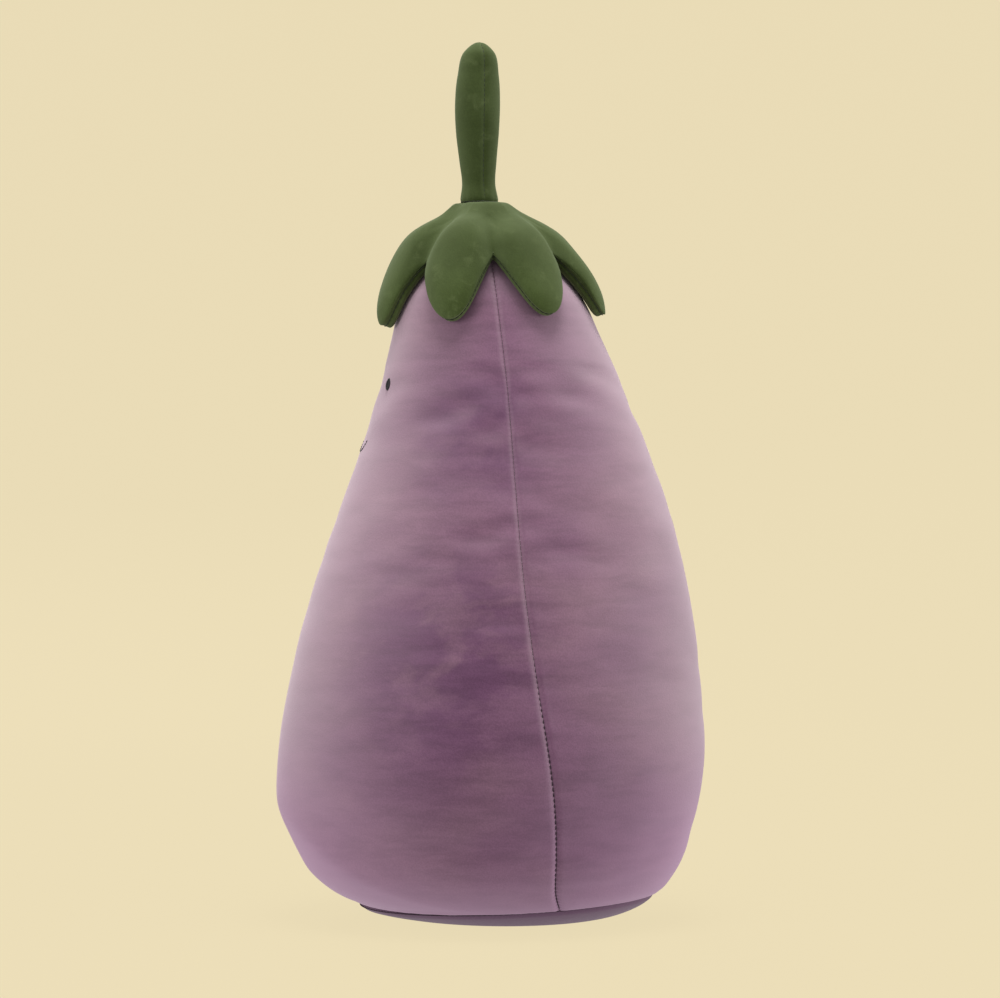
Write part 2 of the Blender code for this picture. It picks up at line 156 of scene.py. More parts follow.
def make_bowl():
    """A flat floor that sweeps up in a quarter ellipse, turned about the upright axis."""
    rise = np.linspace(0, math.pi / 2, 24)
    radius = np.concatenate([[0, 0.7], BOWL_FLAT + (BOWL_RADIUS - BOWL_FLAT) * np.sin(rise)])
    height = np.concatenate([[0, 0], BOWL_HEIGHT * (1 - np.cos(rise))])
    turn = np.linspace(0, 2 * math.pi, 96, endpoint=False)
    x, y = radius[:, None] * np.cos(turn), radius[:, None] * np.sin(turn)
    points = np.stack([x, y, np.broadcast_to(height[:, None], x.shape)], axis=-1)
    bowl = surface("paper_bowl", points, paper_material(), poles=(True, False))
    bowl.visible_diffuse = bowl.visible_glossy = bowl.visible_shadow = False


def soft_box(name, place, size, power, colour):
    """A lamp the shape of a square of cloth, aimed at the toy's middle."""
    lamp = bpy.data.lights.new(name, "AREA")
    lamp.shape, lamp.size, lamp.energy, lamp.color = "DISK", size, power, colour
    made = put_in_scene(bpy.data.objects.new(name, lamp))
    spot = np.array(place)
    away = spot - np.array([0, 0, 0.28])
    made.location = place
    made.rotation_euler = (
        math.atan2(math.hypot(away[0], away[1]), away[2]),
        0,
        math.atan2(away[1], away[0]) + math.pi / 2,
    )


def make_camera():
    """The camera stands CAMERA_DISTANCE off at its azimuth and looks level, straight past the toy's axis."""
    turn = CAMERA_AZIMUTH
    right, back = np.array([math.cos(turn), math.sin(turn)]), np.array([math.sin(turn), -math.cos(turn)])
    camera = bpy.data.objects.new("camera", bpy.data.cameras.new("camera"))
    camera.location = (*(CAMERA_DISTANCE * back + CAMERA_ASIDE * right), CAMERA_HEIGHT)
    camera.rotation_euler = (math.pi / 2, 0, turn)
    camera.data.lens, camera.data.sensor_width = LENS, 36.0
    bpy.context.scene.camera = put_in_scene(camera)


make_bowl()
make_camera()
bpy.context.scene.view_settings.view_transform = "Standard"
world = bpy.data.worlds.new("room")
bpy.context.scene.world = world
world.use_nodes = True
world.node_tree.nodes["Background"].inputs["Color"].default_value = (1.0, 0.98, 0.97, 1)
world.node_tree.nodes["Background"].inputs["Strength"].default_value = 0.44
soft_box("front_box", (1.6, -2.6, 0.7), 1.4, 24, (1.0, 0.98, 0.97))
soft_box("back_box", (1.2, 2.8, 0.55), 1.4, 24, (1.0, 0.98, 0.97))
soft_box("top_box", (0.5, 0.0, 2.6), 1.2, 31, (1.0, 0.99, 0.97))
soft_box("far_box", (-2.6, -0.4, 1.4), 1.4, 20, (1.0, 0.98, 0.97))

# === The body ========================================================================================
# Two panels of purple pile cloth, one with the face and one behind, sewn together down both sides and
# stuffed tight with fibre. The seams roll the cloth in, and a short dart at the front tucks the belly in.

front_low, front_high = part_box("body_front_panel")
back_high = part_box("body_back_panel")[1]
FRONT = -math.pi / 2
BELLY_RADIUS = (back_high[1] - front_low[1]) / 2
BELLY_HEIGHT = 0.104
WIDTH_OVER_DEPTH = front_high[0] / BELLY_RADIUS
SHOULDER_RADIUS, SHOULDER_HEIGHT = 0.0712, 0.399
BODY_TOP = back_high[2] + 0.0005
BASE_RADIUS, BASE_RISE, FLAT_RADIUS = 0.1015, 0.0131, 0.0345
BASE_TIP_UP, TIP_FADE = 0.0047, 0.05
BOW, BOW_SHARE, BOW_LENGTH, NOD = 0.0115, 0.66, 0.26, 0.0055
BASE_SETBACK, SETBACK_FADE = 0.0177, 0.020
LUMP, LUMP_FADE = 0.00045, 0.03
CLOTH = 0.0024

# Points of the outline between the named ones, each a share of the way in radius and in height.
BASE_EDGE = [(0.68, 0.41)]
LOWER_BELLY = [(0.58, 0.24), (0.85, 0.58)]
FLANK = [(0.08, 0.23), (0.33, 0.50), (0.69, 0.77)]
CROWN = [(0.12, 0.34), (0.34, 0.64), (0.66, 0.89)]

SEAM_DEPTH, SEAM_ROLL = 0.0016, 0.0022
SEAM_VALE, VALE_ROLL = 0.0005, 0.010
SEAM_GAP, TOP_HOLE = 0.00015, 0.003
STITCH = 0.0037
STITCH_PULL = 0.00025
SEAM_TOP_TURN, SEAM_FOOT_TURN, SWING_FROM = math.radians(-2.5), math.radians(15), 0.345
DART_TOP = 0.082
DART_WIDTH = math.radians(52)
DART_TUCK, DART_RIDGE = 0.0030, 0.022
PRESSURE, STIFFNESS, CLOTH_MASS, CLOTH_EASE = 4.0, 5.0, 0.002, 0.008  # the ease is cloth cut over size
SWELL_FRAMES, SWELL_EVENING, BODY_START, BODY_CAP = 20, 14, 0.0010, 0.0025
PANEL_ROWS, PANEL_COLUMNS, ROW_STRIDE, COLUMN_STRIDE = 385, 97, 6, 3
UNDER_CALYX = 0.40  # the height from which the calyx presses on the body


def between(start, shares, end):
    """The points at those shares of the way from start to end, each way on its own."""
    return [(start[0] + a * (end[0] - start[0]), start[1] + b * (end[1] - start[1])) for a, b in shares]


def outline(stations, first, last, step=0.0004):
    """A turned outline: a Catmull-Rom curve in radius and height through the stations, with unit end
    directions. Gives, for each sample, its run along the curve, radius, height and outward direction."""
    points = np.array(stations, float)
    spans = np.linalg.norm(np.diff(points, axis=0), axis=1)
    steps = np.diff(points, axis=0) / spans[:, None]
    slopes = np.empty_like(points)
    before, after = spans[:-1, None], spans[1:, None]
    slopes[1:-1] = (steps[:-1] * after + steps[1:] * before) / (before + after)
    slopes[0], slopes[-1] = first, last
    pieces = []
    for i, span in enumerate(spans):
        t = np.linspace(0, 1, int(span / step), endpoint=False)[:, None]
        ends = points[i] * (1 + 2 * t) * (1 - t) ** 2 + points[i + 1] * t**2 * (3 - 2 * t)
        pieces.append(ends + slopes[i] * span * t * (1 - t) ** 2 - slopes[i + 1] * span * t**2 * (1 - t))
    line = np.vstack([*pieces, points[-1:]])
    run = np.concatenate([[0], np.cumsum(np.linalg.norm(np.diff(line, axis=0), axis=1))])
    along = np.gradient(line, run, axis=0)
    along /= np.linalg.norm(along, axis=1)[:, None]
    out_radius = np.where(line[:, 0] > 0, along[:, 1], 0)
    return np.column_stack([run, line, out_radius, -along[:, 0]])


def on_outline(line, run, out):
    """(radius, height before the offset, height) at a run along an outline, a distance out of it."""
    radius, height, out_radius, out_height = (np.interp(run, line[:, 0], line[:, k]) for k in (1, 2, 3, 4))
    return radius + out * out_radius, height, height + out * out_height


belly, shoulder = (BELLY_RADIUS, BELLY_HEIGHT), (SHOULDER_RADIUS, SHOULDER_HEIGHT)
flat, base, top = (FLAT_RADIUS, 0.0), (BASE_RADIUS, BASE_RISE), (0.0, BODY_TOP)
stations = [(0.0, 0.0), flat, *between(flat, BASE_EDGE, base), base, *between(base, LOWER_BELLY, belly)]
stations += [belly, *between(belly, FLANK, shoulder), shoulder, *between(shoulder, CROWN, top), top]
BODY = outline(stations, (1, 0), (-1, 0))
SEAM_RUN = float(np.interp(BASE_RISE, BODY[:, 2], BODY[:, 0]))
TOP_RUN = BODY[-1, 0]


def run_at(height):
    """The run along the body's outline at a height."""
    return float(np.interp(height, BODY[:, 2], BODY[:, 0]))


def axis_setback(height):
    """How far back the body's axis is: it bows back under the shoulder and nods forward at the top, and
    the base is set back."""
    share = height / BODY_TOP
    bow = BOW * np.exp(-(((share - BOW_SHARE) / BOW_LENGTH) ** 2))
    return bow - NOD * share**4 + BASE_SETBACK * np.exp(-((height / SETBACK_FADE) ** 2))


def from_front(angle):
    """The angle from the middle of the face, between minus and plus half a turn."""
    return (angle - FRONT + math.pi) % (2 * math.pi) - math.pi


def stuffing_lumps(angle, run):
    """How far the stuffing pushes the cloth out: three slow waves round and up the body that don't repeat."""
    wave = np.sin(3 * angle + 11 * run + 0.6) + np.sin(2 * angle - 23 * run + 2.0)
    wave = wave + np.sin(5 * angle + 31 * run + 4.0)
    return LUMP * wave * np.clip((run - SEAM_RUN) / LUMP_FADE, 0, 1)


def dart_tuck(angle, height):
    """How far out the front dart leaves the cloth: a soft ridge at the dart's point, and a flattened band
    below it that narrows to each side."""
    aside = np.abs(from_front(angle)) / DART_WIDTH
    crease = BASE_RISE + (DART_TOP - BASE_RISE) * np.exp(-1.3 * aside**2)
    below = np.clip((crease - height) / np.maximum(crease - BASE_RISE, 0.004), 0, 1)
    ridge_above = np.exp(-(((height - crease) / DART_RIDGE) ** 2))
    ridge = np.where(height > crease, ridge_above, np.exp(-((below / 0.35) ** 2)))
    band = np.sin(math.pi * np.clip(below, 0, 1) ** 1.3)
    return DART_TUCK * np.exp(-1.6 * aside**2) * (ridge - band - below**3)


def uncentred_point(angle, run, out):
    """A point on the plain body: the outline turned about its bowed axis, a little wider than deep, with its
    base tipped up at the back, and the lumps and the dart's tuck laid on along the outward direction."""
    angle, run = np.broadcast_arrays(np.asarray(angle, float), np.asarray(run, float))
    height = on_outline(BODY, run, 0.0)[1]
    above = run > SEAM_RUN
    shaped = out + np.where(above, stuffing_lumps(angle, run) + dart_tuck(angle, height), 0.0)
    radius, plain, height = on_outline(BODY, run, shaped)
    under = np.clip((run - FLAT_RADIUS) / (SEAM_RUN - FLAT_RADIUS), 0, 1) ** 2
    tipped = BASE_TIP_UP * np.sin(angle) * under * np.exp(-np.maximum(run - SEAM_RUN, 0) / TIP_FADE)
    x = WIDTH_OVER_DEPTH * radius * np.cos(angle)
    y = radius * np.sin(angle) + axis_setback(plain)
    return np.stack([x, y, height + tipped], axis=-1)


setbacks = uncentred_point(np.linspace(0, 2 * math.pi, 181)[:, None], BODY[None, ::20, 0], 0.0)[..., 1]
MIDDLE = np.array([0.0, (setbacks.min() + setbacks.max()) / 2, 0.0])


def body_point(angle, run, out):
    """A point on the plain body, moved so that the body's outline from above is centred on the axis."""
    return uncentred_point(angle, run, out) - MIDDLE


def outward(angle, run):
    """The unit direction out of the plain body, from the cross of its two tangents."""
    step = 1e-4
    around = body_point(angle + step, run, 0.0) - body_point(angle - step, run, 0.0)
    upward = body_point(angle, run + step, 0.0) - body_point(angle, run - step, 0.0)
    normal = np.cross(around, upward)
    return normal / np.linalg.norm(normal, axis=-1, keepdims=True)


def right_seam(run):
    """The angle of the side seam on +X, which swings back towards the base. The other is its mirror."""
    share = np.clip(1 - on_outline(BODY, run, 0.0)[1] / SWING_FROM, 0, 1)
    return SEAM_TOP_TURN + (SEAM_FOOT_TURN - SEAM_TOP_TURN) * share**2 * (3 - 2 * share)


def roll_in(distance, along):
    """How far a seam pulls the cloth in: a tight roll and a wide shallow vale, and a pull at each stitch."""
    tight, wide = np.exp(-((distance / SEAM_ROLL) ** 2)), np.exp(-((distance / VALE_ROLL) ** 2))
    return SEAM_DEPTH * tight + SEAM_VALE * wide + STITCH_PULL * tight * np.cos(2 * math.pi * along / STITCH)


def sewn_point(angle, run, out):
    """A point on the body where its seams pull the cloth in."""
    radius = on_outline(BODY, run, 0.0)[0]
    side = np.minimum(
        np.abs((angle - right_seam(run) + math.pi) % (2 * math.pi) - math.pi),
        np.abs((math.pi - angle - right_seam(run) + math.pi) % (2 * math.pi) - math.pi),
    )
    at_side = np.where(run > SEAM_RUN, roll_in(radius * side, run), 0.0)
    at_base = roll_in(run - SEAM_RUN, angle * BASE_RADIUS)
    return body_point(angle, run, out - np.maximum(at_side, at_base))


def mixed(add, join, factor, low, high, blend="MIX"):
    """A colour mix node; the factor and the two ends are each a socket or a plain value."""
    node = add("ShaderNodeMix", data_type="RGBA", blend_type=blend)
    for socket, value in ((0, factor), (6, low), (7, high)):
        if isinstance(value, bpy.types.NodeSocket):
            join(value, node.inputs[socket])
        else:
            node.inputs[socket].default_value = value if socket == 0 else (*value, 1)
    return node.outputs[2]


def ranged(add, join, value, low, high, to_low=0.0, to_high=1.0):
    """A smooth step of a value, from to_low where it is under low to to_high where it is over high."""
    inputs = {"From Min": low, "From Max": high, "To Min": to_low, "To Max": to_high}
    node = add("ShaderNodeMapRange", inputs, interpolation_type="SMOOTHSTEP")
    join(value, node.inputs["Value"])
    return node.outputs["Result"]


def noise(add, join, stretch, scale, detail, roughness=0.5, distortion=0.0):
    """Noise on the piece's own coordinates, stretched along each axis."""
    place = add("ShaderNodeTexCoord")
    scaled = add("ShaderNodeMapping", {"Scale": stretch})
    inputs = {"Scale": scale, "Detail": detail, "Roughness": roughness, "Distortion": distortion}
    node = add("ShaderNodeTexNoise", inputs)
    join(place.outputs["Object"], scaled.inputs["Vector"])
    join(scaled.outputs["Vector"], node.inputs["Vector"])
    return node.outputs["Fac"]


def pile_cloth(shader, add, join, colour, rim, grain, strokes, sheen, tint):
    """What the pile cloths share: the grain of the pile in the colour, painted sheen in a lighter rim colour
    mixed in where the surface turns from the view, a bump from strokes and grain, and a soft shader sheen."""
    speckled = mixed(add, join, 1.0, colour, ranged(add, join, grain, 0.3, 0.7, 0.90, 1.08), "MULTIPLY")
    # Painted sheen: the colour is mixed towards the lighter rim colour as the surface turns away from the
    # view.
    facing = add("ShaderNodeLayerWeight", {"Blend": 0.42})
    join(mixed(add, join, facing.outputs["Facing"], speckled, rim), shader.inputs["Base Color"])
    nap = add("ShaderNodeBump", {"Strength": 0.30, "Distance": 0.0012})
    pile = add("ShaderNodeBump", {"Strength": 0.55, "Distance": 0.0004})
    join(strokes, nap.inputs["Height"])
    join(grain, pile.inputs["Height"])
    join(nap.outputs["Normal"], pile.inputs["Normal"])
    join(pile.outputs["Normal"], shader.inputs["Normal"])
    shader.inputs["Roughness"].default_value = 0.95
    shader.inputs["Specular IOR Level"].default_value = 0.12
    shader.inputs["Sheen Weight"].default_value = sheen
    shader.inputs["Sheen Roughness"].default_value = 0.42
    shader.inputs["Sheen Tint"].default_value = (*tint, 1)


def purple_pile(name, dark, middle, light, rim, low_painted_sheen):
    """Short velvety pile in slow clouds of two tones. Where hands have stroked it the other way it is darker
    and cooler, in smudges and level streaks that lie thickest low on the body."""
    material, shader, add, join = new_material(name)
    cloud = noise(add, join, (1, 1, 1.5), 8.0, 2.0)
    smudge = noise(add, join, (1, 1, 1.7), 24.0, 4.0, 0.58, 0.35)
    streak = noise(add, join, (1, 1, 5.0), 26.0, 4.0, 0.6, 0.2)
    grain = noise(add, join, (1, 1, 1), 900.0, 2.0, 0.6)
    stroked = None
    for middle_of, size in STROKED_PLACES:
        place, away = add("ShaderNodeTexCoord"), add("ShaderNodeVectorMath", operation="DISTANCE")
        join(place.outputs["Object"], away.inputs[0])
        away.inputs[1].default_value = middle_of
        here = ranged(add, join, away.outputs["Value"], size, 0.25 * size)
        both = add("ShaderNodeMath", {0: 0.20}, operation="MAXIMUM")
        if stroked is not None:
            join(stroked, both.inputs[0])
        join(here, both.inputs[1])
        stroked = both.outputs["Value"]
    marks = add("ShaderNodeMath", operation="MULTIPLY")
    join(stroked, marks.inputs[0])
    join(ranged(add, join, smudge, 0.37, 0.58, 0.45, 1.0), marks.inputs[1])
    tone = mixed(add, join, ranged(add, join, cloud, 0.36, 0.66), middle, light)
    tone = mixed(add, join, marks.outputs["Value"], tone, dark)
    tone = mixed(add, join, 1.0, tone, ranged(add, join, streak, 0.34, 0.70, 1.09, 0.87), "MULTIPLY")
    place, height = add("ShaderNodeTexCoord"), add("ShaderNodeSeparateXYZ")
    join(place.outputs["Object"], height.inputs["Vector"])
    # Painted sheen: the rim colour changes to a second one below about 0.16 m up the body.
    rim = mixed(add, join, ranged(add, join, height.outputs["Z"], 0.16, 0.04), rim, low_painted_sheen)
    pile_cloth(shader, add, join, tone, rim, grain, smudge, 0.30, (0.97, 0.90, 0.96))
    return material


def thread_material(name, colour, gloss):
    """Twisted thread: fine ridges that run slantwise round it, with painted shade darkening the grooves
    between them.
    """
    material, shader, add, join = new_material(name)
    place = add("ShaderNodeTexCoord")
    slant = add("ShaderNodeMapping", {"Rotation": (0.6, 0.5, 0.4)})
    twist = add("ShaderNodeTexWave", {"Scale": 900.0, "Distortion": 1.2, "Detail": 1.0})
    # Painted shade: the colour falls to half in the grooves, where the twist's bump is low.
    paint = add("ShaderNodeMix", data_type="RGBA")
    paint.inputs[6].default_value = (*(0.5 * c for c in colour), 1)
    paint.inputs[7].default_value = (*colour, 1)
    bump = add("ShaderNodeBump", {"Strength": 0.5, "Distance": 0.0001})
    join(place.outputs["Object"], slant.inputs["Vector"])
    join(slant.outputs["Vector"], twist.inputs["Vector"])
    join(twist.outputs["Fac"], paint.inputs["Factor"])
    join(paint.outputs[2], shader.inputs["Base Color"])
    join(twist.outputs["Fac"], bump.inputs["Height"])
    join(bump.outputs["Normal"], shader.inputs["Normal"])
    shader.inputs["Roughness"].default_value = gloss
    return material


def settle(piece, slot, *nodes, fill=None):
    """Says what a finished piece is: what it rides on and the CAD nodes it stands for; its slot is not used.
    """
    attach(piece, "root")
    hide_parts(*nodes)
    return piece


def thicken(piece, depth=CLOTH):
    """Gives a sheet of cloth its thickness, inwards."""
    solid = piece.modifiers.new("thickness", "SOLIDIFY")
    solid.thickness, solid.offset, solid.use_even_offset = depth, -1.0, False


def close_at_ends(count, power):
    """count + 1 shares from 0 to 1, closer together at both ends the higher the power."""
    t = np.linspace(-1, 1, count + 1)
    return (1 + np.sign(t) * (1 - (1 - np.abs(t)) ** power)) / 2


def evened(grid, wrapped, times):
    """A grid blurred that many times: half of each value with a quarter of each neighbour, both ways."""
    for axis in (0, 1) * times:
        edge = [(1, 1) if k == axis else (0, 0) for k in range(grid.ndim)]
        wide = np.pad(grid, edge, mode="wrap" if wrapped and axis else "edge")
        count = grid.shape[axis]
        before, after = np.take(wide, np.arange(count), axis), np.take(wide, np.arange(count) + 2, axis)
        grid = grid / 2 + (before + after) / 4
    return grid


def stretched(grid, shape, wrapped):
    """A coarse grid brought to a finer shape, with straight lines between its values."""
    for axis in (0, 1):
        if wrapped and axis:
            grid = np.concatenate([grid, grid[:, :1]], axis=1)
        place = np.linspace(0, grid.shape[axis] - 1, shape[axis] + (wrapped and axis))[: shape[axis]]
        low = np.minimum(place.astype(int), grid.shape[axis] - 2)
        share = np.expand_dims(place - low, 1 - axis)[..., None]
        grid = np.take(grid, low, axis) * (1 - share) + np.take(grid, low + 1, axis) * share
    return grid


def blown(points, held, stride, start, cap, wrapped=False):
    """How far the stuffing moves each point of a sheet of cloth. A coarse copy starts a little inside the
    sheet, is held where it is sewn or pressed, and swells in a cloth simulation with no gravity; no point
    goes further than the cap, and the movement is evened before it is laid on the sheet."""
    coarse, pinned = points[:: stride[0], :: stride[1]], held[:: stride[0], :: stride[1]]
    along = np.roll(coarse, -1, 1) - np.roll(coarse, 1, 1) if wrapped else np.gradient(coarse, axis=1)
    normal = np.cross(along, np.gradient(coarse, axis=0))
    normal /= np.linalg.norm(normal, axis=-1, keepdims=True)
    loose = evened(1.0 - pinned, wrapped, 3) * ~pinned
    inner = coarse - start * loose[..., None] * normal
    mesh = bpy.data.meshes.new("swelling_sheet")
    mesh.from_pydata(inner.reshape(-1, 3), [], grid_faces(*coarse.shape[:2], wrapped).tolist())
    sheet = put_in_scene(bpy.data.objects.new("swelling_sheet", mesh))
    sheet.vertex_groups.new(name="held").add(np.flatnonzero(pinned).tolist(), 1.0, "REPLACE")
    cloth = sheet.modifiers.new("stuffing", "CLOTH")
    cloth.settings.use_pressure, cloth.settings.uniform_pressure_force = True, PRESSURE
    cloth.settings.effector_weights.gravity = 0.0
    cloth.settings.vertex_group_mass = "held"
    cloth.settings.tension_stiffness = cloth.settings.compression_stiffness = STIFFNESS
    cloth.settings.mass, cloth.settings.shrink_min = CLOTH_MASS, -CLOTH_EASE
    for moment in range(SWELL_FRAMES):
        bpy.context.scene.frame_set(moment + 1)
    swollen = sheet.evaluated_get(bpy.context.evaluated_depsgraph_get()).data
    now = np.empty(coarse.size, dtype=np.float32)
    swollen.vertices.foreach_get("co", now)
    move = now.reshape(coarse.shape) - inner
    bpy.data.objects.remove(sheet)
    bpy.data.meshes.remove(mesh)
    bpy.context.scene.frame_set(1)
    length = np.linalg.norm(move, axis=-1, keepdims=True)
    move = move * np.minimum(1, cap / np.maximum(length, 1e-9)) + inner - coarse
    free = stretched((1.0 - pinned)[..., None], points.shape, wrapped)
    return evened(stretched(move, points.shape, wrapped), wrapped, SWELL_EVENING) * np.minimum(1, 2 * free)


def body_panel_angles(run, share):
    """Rows of angles over the front panel and the back one, from seam to seam."""
    seam = right_seam(run)[:, None]
    clear = SEAM_GAP / np.maximum(on_outline(BODY, run, 0.0)[0], TOP_HOLE)[:, None]
    start, end = math.pi - seam + clear, 2 * math.pi + seam - clear
    back_start, back_end = seam + clear, math.pi - seam - clear
    return start + share * (end - start), back_start + share * (back_end - back_start)


# The middle and size of each place where the pile has been stroked down by handling.
STROKED_PLACES = [((0.140, -0.050, 0.185), 0.125), ((-0.13, 0.05, 0.16), 0.12), ((-0.03, 0.15, 0.09), 0.11)]
STROKED_PLACES += [((0.09, -0.02, 0.33), 0.07), ((-0.09, -0.11, 0.10), 0.09)]
PURPLE_TONES = [(0.165, 0.073, 0.143), (0.235, 0.118, 0.188), (0.290, 0.160, 0.216)]
# Painted sheen: the light colours the pile is mixed towards at its silhouette, the second low on the body.
PURPLE_PAINTED_SHEEN = [(0.74, 0.56, 0.64), (0.79, 0.50, 0.72)]
PURPLE = purple_pile("purple_pile", *PURPLE_TONES, *PURPLE_PAINTED_SHEEN)
body_runs = SEAM_RUN + SEAM_GAP + (TOP_RUN - TOP_HOLE - SEAM_RUN) * np.linspace(0, 1, PANEL_ROWS) ** 1.05
panel_share = close_at_ends(PANEL_COLUMNS - 1, 1.6)[None, :]
hem_rows, hem_columns = 2 * ROW_STRIDE, 2 * COLUMN_STRIDE
loose_rows = hem_rows * int(np.searchsorted(body_runs, run_at(UNDER_CALYX)) / hem_rows) + 1
sewn = np.ones((loose_rows, PANEL_COLUMNS), dtype=bool)
sewn[hem_rows:-hem_rows, hem_columns:-hem_columns] = False
body_moves = {}
for name, angles in zip(("front", "back"), body_panel_angles(body_runs, panel_share)):
    points = sewn_point(angles, body_runs[:, None], 0.0)
    body_moves[name] = blown(points[:loose_rows], sewn, (ROW_STRIDE, COLUMN_STRIDE), BODY_START, BODY_CAP)
    points[:loose_rows] += body_moves[name]
    cloth = surface(f"body_{name}", points, PURPLE, wrapped=False)
    thicken(cloth)
    settle(cloth, "purple_pile", f"body_{name}_panel", fill=0.9)


def front_moved(angle, run):
    """How far the stuffing moved the front panel at an angle and a run: that of the nearest grid point."""
    angle, run = np.broadcast_arrays(np.asarray(angle, float) % (2 * math.pi), np.asarray(run, float))
    seam = right_seam(run)
    share = (angle - math.pi + seam) / (math.pi + 2 * seam)
    row = np.rint(np.interp(run, body_runs, np.arange(len(body_runs)))).astype(int)
    column = np.rint(np.interp(share, panel_share[0], np.arange(PANEL_COLUMNS))).astype(int)
    return body_moves["front"][np.minimum(row, loose_rows - 1), column]


# === The body's stuffing and the pellet pouch ========================================================
# Loose polyester fibre fills the body just inside the cloth. The pouch of pellets under it is the frame's.


def fibre_material():
    """White fibre: fine clouds and a woolly bump."""
    material, shader, add, join = new_material("white_fibre")
    place, wool = add("ShaderNodeTexCoord"), add("ShaderNodeTexNoise", {"Scale": 120.0, "Detail": 6.0})
    paint = add("ShaderNodeMix", data_type="RGBA")
    paint.inputs[6].default_value, paint.inputs[7].default_value = (0.70, 0.69, 0.66, 1), (0.9, 0.89, 0.86, 1)
    bump = add("ShaderNodeBump", {"Strength": 0.8, "Distance": 0.002})
    join(place.outputs["Object"], wool.inputs["Vector"])
    join(wool.outputs["Fac"], paint.inputs["Factor"])
    join(wool.outputs["Fac"], bump.inputs["Height"])
    join(paint.outputs[2], shader.inputs["Base Color"])
    join(bump.outputs["Normal"], shader.inputs["Normal"])
    shader.inputs["Roughness"].default_value = 1.0
    return material


def linen_material():
    """Plain weave: two fine waves at right angles."""
    material, shader, add, join = new_material("pouch_linen")
    place = add("ShaderNodeTexCoord")
    bump = add("ShaderNodeBump", {"Strength": 0.6, "Distance": 0.0003})
    both = add("ShaderNodeMath", operation="MAXIMUM")
    for slot, way in enumerate(("X", "Y")):
        weave = add("ShaderNodeTexWave", {"Scale": 420.0, "Distortion": 0.4}, bands_direction=way)
        join(place.outputs["Object"], weave.inputs["Vector"])
        join(weave.outputs["Fac"], both.inputs[slot])
    join(both.outputs["Value"], bump.inputs["Height"])
    join(bump.outputs["Normal"], shader.inputs["Normal"])
    shader.inputs["Base Color"].default_value = (0.75, 0.72, 0.65, 1)
    shader.inputs["Roughness"].default_value = 0.95
    return material


FIBRE = fibre_material()
INSIDE, OVER_POUCH = 0.0065, 0.002
pouch_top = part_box("pellet_pouch")[1].z + OVER_POUCH
runs = np.linspace(SEAM_RUN + 0.012, TOP_RUN, 60)
turns = np.linspace(0, 2 * math.pi, 72, endpoint=False)[None, :]
side = body_point(turns, runs[:, None], -INSIDE)
side[..., 2] = np.maximum(side[..., 2], pouch_top)
floor = np.broadcast_to(side[0].mean(axis=0), side[:1].shape)
filling = surface("body_filling", np.concatenate([floor, side]), FIBRE, poles=(True, True))
settle(filling, "white_fibre", "body_stuffing")
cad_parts["pellet_pouch"].data.materials.clear()
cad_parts["pellet_pouch"].data.materials.append(linen_material())

# === The base ========================================================================================
# A round of greyer purple pile cloth, sewn into the bottom of the body and pressed flat where it rests.

GREY_TONES = [(0.120, 0.070, 0.120), (0.180, 0.100, 0.160), (0.200, 0.118, 0.180)]
# Painted sheen: the colours the base's pile is mixed towards at its silhouette, the second low down.
GREY_PAINTED_SHEEN = [(0.30, 0.19, 0.27), (0.26, 0.155, 0.235)]
GREY_PURPLE = purple_pile("purple_base_pile", *GREY_TONES, *GREY_PAINTED_SHEEN)
resting, rising = np.linspace(0, FLAT_RADIUS, 12), np.linspace(FLAT_RADIUS, SEAM_RUN - SEAM_GAP, 60)
runs = np.concatenate([resting[:-1], rising])
turns = np.linspace(0, 2 * math.pi, 360, endpoint=False)[None, :]
points = sewn_point(turns, runs[:, None], 0.0)
points[..., 2] = np.maximum(points[..., 2], 0.0)
lining = sewn_point(turns, runs[:, None], -CLOTH)
shell = surface("base", np.concatenate([points, lining[::-1]]), GREY_PURPLE, poles=(True, True))
settle(shell, "purple_base_pile", "base_panel", fill=0.8)

# === The body's seams ================================================================================
# Dark purple thread in small even stitches down both sides, round the base and up the front dart.

THREAD, DART_THREAD, DART_SINK = 0.00032, 0.00022, 0.0004
DRAWN_IN, DRAWN_FROM, DRAWN_OVER = 0.0012, 0.12, 0.16  # the side seams are drawn in harder above a height
SIDE_FOOT, SIDE_TOP, DART_FOOT = 0.004, 0.02, 0.006  # how far the threads stop short of their cloth's ends


